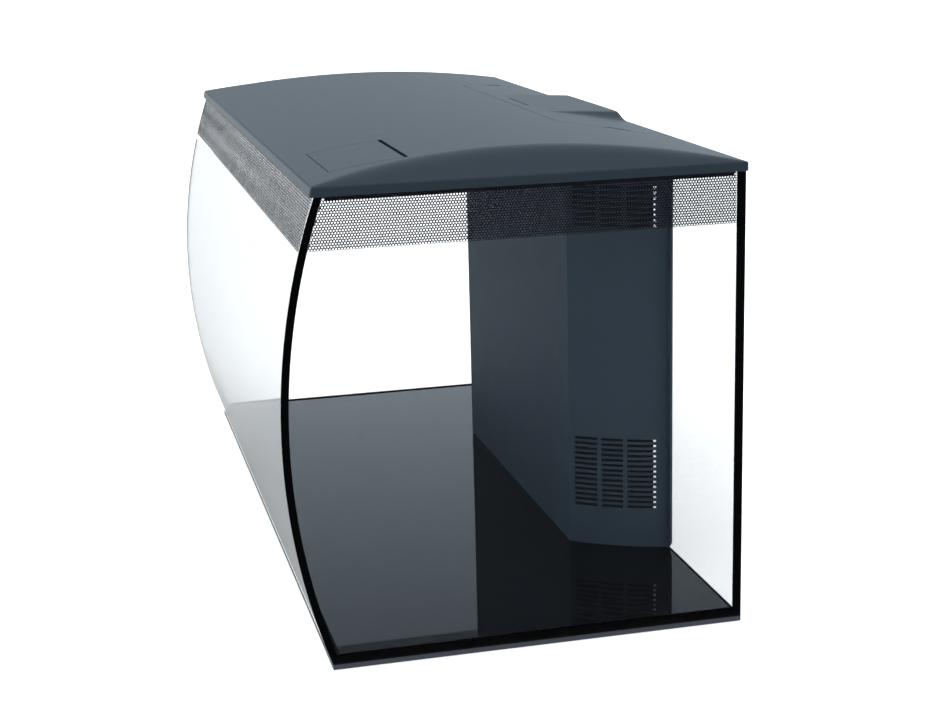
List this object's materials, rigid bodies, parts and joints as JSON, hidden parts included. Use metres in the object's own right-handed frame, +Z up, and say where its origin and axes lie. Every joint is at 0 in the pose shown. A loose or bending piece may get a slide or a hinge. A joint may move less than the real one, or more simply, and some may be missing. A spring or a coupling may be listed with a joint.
{
  "type": "aquarium",
  "caption": "Curved-front glass aquarium with a rear filter compartment, a printed honeycomb band and an arched lift-off hood with a feed door and a service hatch",
  "frame": {"origin": "On the surface the tank stands on, in the middle of the whole outline in plan", "axes": "+X along the length towards the feed door end, -Y towards the curved front glass, +Z up"},
  "size_m": [0.824, 0.395, 0.42],
  "materials": {
    "slate_plastic": "satin moulded plastic, blue-grey",
    "black_film": "black film under the floor pane",
    "floor_glass": "clear float glass over the black backing",
    "clear_glass": "clear polished float glass",
    "black_silicone": "black silicone, slightly glossy",
    "band_print": "black printed hexagon mesh with clear holes",
    "filter_plastic": "satin moulded plastic, slate grey",
    "foam": "open-cell black filter foam",
    "basket_plastic": "satin black plastic",
    "media_bag": "nylon net bag filled with activated carbon",
    "ceramic_media": "porous sintered ceramic",
    "pump_plastic": "satin black plastic",
    "shaft_ceramic": "polished white ceramic",
    "impeller_plastic": "moulded impeller on a coated magnet",
    "rubber": "soft black rubber",
    "hose_rubber": "flexible black hose",
    "nozzle_plastic": "satin moulded plastic, slate grey",
    "hood_plastic": "fine satin moulded plastic, slate grey",
    "frame_plastic": "satin black plastic",
    "lamp_aluminium": "anodised aluminium, dark grey",
    "lamp_lens": "clear acrylic splash cover",
    "led_board": "white circuit board with light-emitting diodes",
    "steel": "stainless steel"
  },
  "bodies": {
    "tank": {"back_glass": "clear_glass", "base_tray": "slate_plastic", "bottom_glass": "floor_glass", "carbon_bag_left": "media_bag", "carbon_bag_right": "media_bag", "ceramic_rings_left": "ceramic_media", "ceramic_rings_right": "ceramic_media", "chamber_wall_left": "filter_plastic", "chamber_wall_right": "filter_plastic", "filter_front_wall": "filter_plastic", "filter_side_wall_left": "filter_plastic", "filter_side_wall_right": "filter_plastic", "floor_backing": "black_film", "floor_bead": "black_silicone", "foam_block_left": "foam", "foam_block_right": "foam", "front_glass": "clear_glass", "honeycomb_front": "band_print", "honeycomb_left": "band_print", "honeycomb_right": "band_print", "media_basket_left": "basket_plastic", "media_basket_right": "basket_plastic", "nozzle_ring_left": "nozzle_plastic", "nozzle_ring_right": "nozzle_plastic", "outlet_hose_left": "hose_rubber", "outlet_hose_right": "hose_rubber", "pump_body_left": "pump_plastic", "pump_body_right": "pump_plastic", "pump_cover_left": "pump_plastic", "pump_cover_right": "pump_plastic", "pump_feet_left": "rubber", "pump_feet_right": "rubber", "pump_shaft_left": "shaft_ceramic", "pump_shaft_right": "shaft_ceramic", "side_glass_left": "clear_glass", "side_glass_right": "clear_glass", "silicone_joint_left": "black_silicone", "silicone_joint_right": "black_silicone"},
    "hood": {"hood_shell": "hood_plastic", "hood_inner_frame": "frame_plastic", "lamp_housing": "lamp_aluminium", "lamp_screws": "steel", "lamp_lens": "lamp_lens", "led_board": "led_board"},
    "feed_door": {"feed_door": "hood_plastic", "feed_door_pins": "steel"},
    "service_hatch": {"service_hatch": "hood_plastic"},
    "impeller_right": {"impeller_right": "impeller_plastic"},
    "nozzle_collar_right": {"nozzle_collar_right": "nozzle_plastic"},
    "nozzle_spout_right": {"nozzle_spout_right": "nozzle_plastic"},
    "impeller_left": {"impeller_left": "impeller_plastic"},
    "nozzle_collar_left": {"nozzle_collar_left": "nozzle_plastic"},
    "nozzle_spout_left": {"nozzle_spout_left": "nozzle_plastic"}
  },
  "joints": [
    {"name": "hood_lift", "type": "slide", "parent": "tank", "child": "hood", "axis": [0, 0, 1], "range_m": [0, 0.3]},
    {"name": "feed_door_hinge", "type": "hinge", "parent": "hood", "child": "feed_door", "pos_m": [0.3035, -0.13, 0.40464], "axis": [1, 0, 0], "range_deg": [0, 100]},
    {"name": "service_hatch_lift", "type": "slide", "parent": "hood", "child": "service_hatch", "axis": [0, 0, 1], "range_m": [0, 0.15]},
    {"name": "impeller_spin_right", "type": "hinge", "parent": "tank", "child": "impeller_right", "pos_m": [0.07, 0.138, 0.045], "axis": [0, 1, 0], "continuous": true},
    {"name": "nozzle_swivel_right", "type": "hinge", "parent": "tank", "child": "nozzle_collar_right", "pos_m": [0.07, 0.095, 0.372], "axis": [0, 1, 0], "continuous": true},
    {"name": "nozzle_tilt_right", "type": "hinge", "parent": "nozzle_collar_right", "child": "nozzle_spout_right", "pos_m": [0.07, 0.083, 0.372], "axis": [1, 0, 0], "range_deg": [-25, 25]},
    {"name": "impeller_spin_left", "type": "hinge", "parent": "tank", "child": "impeller_left", "pos_m": [-0.07, 0.138, 0.045], "axis": [0, 1, 0], "continuous": true},
    {"name": "nozzle_swivel_left", "type": "hinge", "parent": "tank", "child": "nozzle_collar_left", "pos_m": [-0.07, 0.095, 0.372], "axis": [0, 1, 0], "continuous": true},
    {"name": "nozzle_tilt_left", "type": "hinge", "parent": "nozzle_collar_left", "child": "nozzle_spout_left", "pos_m": [-0.07, 0.083, 0.372], "axis": [1, 0, 0], "range_deg": [-25, 25]}
  ]
}
